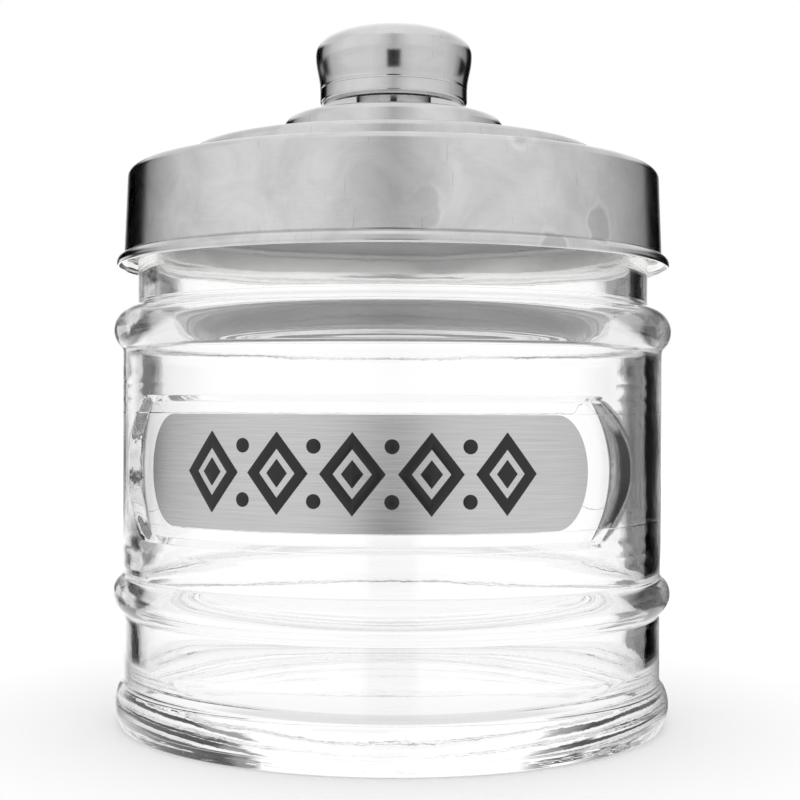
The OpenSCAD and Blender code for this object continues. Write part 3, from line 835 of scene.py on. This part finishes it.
AROUND_MIDDLE = [(-180, 0.6), (-165, 0.8), (-146, 0.9), (-100, 0.85), (-74, 0.65), (-66, 0.3), (-62, 0.06),
                 (-58, 0.0), (-50, 0.03), (-45.5, 0.45), (-44, 0.8), (-38, 0.85), (-35, 1.0), (-28, 1.0),
                 (-26, 0.0), (-20.8, 0.02), (-20, 0.16), (-17, 0.5), (-16.5, 1.07), (16.3, 1.07),
                 (16.8, 0.26), (19.6, 0.24), (20.2, 0.0), (62, 0.02), (68, 0.3), (80, 0.65), (100, 0.85),
                 (150, 0.9), (166, 0.8), (180, 0.6)]
AROUND_LOW = [(-180, 0.6), (-165, 0.8), (-146, 0.92), (-100, 0.92), (-66, 0.82), (-55, 0.6), (-50, 0.06),
              (-35, 0.0), (-31, 0.3), (-27, 0.7), (-25, 1.07), (16.8, 1.07), (17.3, 0.22), (19.8, 0.2),
              (20.6, 0.03), (27, 0.0), (52, 0.0), (62, 0.2), (75, 0.7), (100, 0.92), (150, 0.92),
              (166, 0.8), (180, 0.6)]
# Elevations in degrees between which one level gives way to the next
LOW_TO_MIDDLE, MIDDLE_TO_LID = (-5, -3.5), (3.5, 5.5)
# The flags' top, as glass refracts it and as metal mirrors it
FLAGS_TOP_IN_GLASS, FLAGS_TOP_IN_METAL = (14, 18), (17, 24)
# What hangs above, the pale table and the dimmer floor under it, with how bright each is
ABOVE, TABLE, UNDER = (46, 60, 1.05), (-11, -14, 0.97), (-38, -50, 0.78)
# The camera stands in front, a little below the level of the jar's middle, and metal mirrors it
CAMERA_SIDES, CAMERA_TOP, CAMERA_FOOT, CAMERA_TONE = (168, 172), (-3, -5), (-17, -15), 0.03
LIGHT_BOUNCES = 160


def climb(tree, up, first, last):
    """0 on the near side of one elevation in degrees, 1 past another, and a slope between."""
    return spread(tree, up, math.sin(math.radians(first)), math.sin(math.radians(last)))


class SUGARJAR_OT_stage(Operator):
    """Make the floor, the studio light and the camera"""
    bl_idname = "sugar_jar.stage"
    bl_label = "Stage"

    def execute(self, context):
        scene = context.scene
        s = scene.stage_sizes
        self.floor(s, scene.jar_colours)
        self.light(scene, s)
        self.camera(scene, s)
        scene.view_settings.view_transform = "Standard"
        # Light goes round inside the glass many times
        cycles = scene.cycles
        cycles.max_bounces = cycles.transmission_bounces = cycles.glossy_bounces = LIGHT_BOUNCES
        return {"FINISHED"}

    def floor(self, s, c):
        a = np.linspace(0, 2 * math.pi, 96, endpoint=False)
        rings = [0.2, 1, s.floor_r]
        co = [(r * math.cos(b), r * math.sin(b), 0) for r in rings for b in a] + [(0, 0, 0)]
        n = len(a)
        faces = [[i * n + k, (i + 1) * n + k, (i + 1) * n + (k + 1) % n, i * n + (k + 1) % n]
                 for i in range(len(rings) - 1) for k in range(n)]
        faces += [[3 * n, k, (k + 1) % n] for k in range(n)]
        floor = mesh_object("studio_floor", co, faces)
        material, tree, _ = finish_of("paper_matt_white")
        paper = add(tree, "ShaderNodeBsdfDiffuse", {"Color": rgba(c.floor)})
        path = add(tree, "ShaderNodeLightPath")
        # A little glow takes the paper to plain white away from the jar
        glow = add(tree, "ShaderNodeEmission", {"Color": (1, 1, 1, 1), "Strength": 0.13})
        white = add(tree, "ShaderNodeAddShader", {0: paper.outputs[0], 1: glow.outputs[0]})
        # Glass and metal show the studio all round, and not the paper
        clear = add(tree, "ShaderNodeBsdfTransparent")
        bent_or_mirrored = {0: path.outputs["Is Transmission Ray"], 1: path.outputs["Is Glossy Ray"]}
        mirrored = add(tree, "ShaderNodeMath", bent_or_mirrored, operation="ADD", use_clamp=True)
        shader = add(tree, "ShaderNodeMixShader", {0: mirrored.outputs[0], 1: white.outputs[0],
                                                   2: clear.outputs[0]})
        add(tree, "ShaderNodeOutputMaterial", {0: shader.outputs[0]})
        floor.data.materials.append(material)

    def light(self, scene, s):
        world = bpy.data.worlds.new("soft_studio")
        scene.world = world
        world.use_nodes = True
        world.cycles.sampling_method = "NONE"
        tree = world.node_tree
        tree.nodes.clear()
        way = add(tree, "ShaderNodeVectorRotate", {
            "Vector": add(tree, "ShaderNodeTexCoord").outputs["Generated"], "Angle": -s.azimuth},
            rotation_type="Z_AXIS")
        part = add(tree, "ShaderNodeSeparateXYZ", {0: way.outputs[0]})
        x, y, up = part.outputs
        turn = add(tree, "ShaderNodeMath", {0: x, 1: y}, operation="ARCTAN2").outputs[0]
        place = spread(tree, turn, -math.pi, math.pi)
        path = add(tree, "ShaderNodeLightPath")

        def around(stops):
            ramp = add(tree, "ShaderNodeValToRGB", {0: place})
            set_stops(ramp, [((a + 180) / 360, v) for a, v in stops])
            return ramp.outputs[0]

        flags_top = blend(tree, path.outputs["Is Transmission Ray"], climb(tree, up, *FLAGS_TOP_IN_METAL),
                          climb(tree, up, *FLAGS_TOP_IN_GLASS))
        seen = blend(tree, climb(tree, up, *LOW_TO_MIDDLE), around(AROUND_LOW), around(AROUND_MIDDLE))
        seen = blend(tree, climb(tree, up, *MIDDLE_TO_LID), seen, around(AROUND_LID))
        seen = blend(tree, flags_top, seen, around(AROUND_HIGH))
        for first, last, brightness in (ABOVE, TABLE, UNDER):
            seen = blend(tree, climb(tree, up, first, last), seen, brightness)
        aside = add(tree, "ShaderNodeMath", {0: turn}, operation="ABSOLUTE").outputs[0]
        dark = spread(tree, aside, math.radians(CAMERA_SIDES[0]), math.radians(CAMERA_SIDES[1]))
        for edge in (CAMERA_TOP, CAMERA_FOOT):
            limit = climb(tree, up, *edge)
            dark = add(tree, "ShaderNodeMath", {0: dark, 1: limit}, operation="MULTIPLY").outputs[0]
        seen = blend(tree, dark, seen, CAMERA_TONE)
        # The camera sees plain white, and matt surfaces are lit evenly from all round
        seen_or_matt = {0: path.outputs["Is Camera Ray"], 1: path.outputs["Diffuse Depth"]}
        even = add(tree, "ShaderNodeMath", seen_or_matt, operation="ADD", use_clamp=True)
        level = blend(tree, even.outputs[0], seen, 1.0)
        back = add(tree, "ShaderNodeBackground", {"Color": (1, 1, 1, 1), "Strength": level})
        add(tree, "ShaderNodeOutputWorld", {0: back.outputs[0]})

    def camera(self, scene, s):
        data = bpy.data.cameras.new("photo_camera")
        data.sensor_width, data.lens = 36, s.lens
        data.shift_x, data.shift_y = 0.0096, 0.0138
        camera = bpy.data.objects.new("photo_camera", data)
        scene.collection.objects.link(camera)
        place = (s.distance * math.sin(s.azimuth), -s.distance * math.cos(s.azimuth), s.height)
        camera.matrix_world = (Matrix.Translation(place) @ Matrix.Rotation(s.azimuth, 4, "Z")
                               @ Matrix.Rotation(math.radians(90), 4, "X") @ Matrix.Rotation(s.roll, 4, "Z"))
        data.clip_start, data.clip_end = 0.01, 20
        scene.camera = camera


OPERATORS = [SUGARJAR_OT_glass, SUGARJAR_OT_label, SUGARJAR_OT_lid, SUGARJAR_OT_ring, SUGARJAR_OT_knob,
             SUGARJAR_OT_fastening, SUGARJAR_OT_stage]


class SUGARJAR_PT_panel(Panel):
    """Sizes, colours and pieces of the sugar jar"""
    bl_idname = "SUGARJAR_PT_panel"
    bl_label = "Sugar jar"
    bl_space_type = "VIEW_3D"
    bl_region_type = "UI"
    bl_category = "Sugar jar"

    def draw(self, context):
        for operator in OPERATORS:
            self.layout.operator(operator.bl_idname)
        for name, group in GROUPS.items():
            box = self.layout.box()
            box.label(text=group.__doc__)
            for key in group.__annotations__:
                box.prop(getattr(context.scene, name), key)


def register():
    for group in GROUPS.values():
        bpy.utils.register_class(group)
    for name, group in GROUPS.items():
        setattr(bpy.types.Scene, name, PointerProperty(type=group))
    for cls in (*OPERATORS, SUGARJAR_PT_panel):
        bpy.utils.register_class(cls)


def unregister():
    for cls in (SUGARJAR_PT_panel, *reversed(OPERATORS)):
        bpy.utils.unregister_class(cls)
    for name, group in GROUPS.items():
        delattr(bpy.types.Scene, name)
        bpy.utils.unregister_class(group)


def main():
    """Builds every piece and the stage."""
    register()
    for operator in OPERATORS:
        area, name = operator.bl_idname.split(".")
        getattr(getattr(bpy.ops, area), name)()
    bpy.context.view_layer.update()


if __name__ == "__main__":
    main()
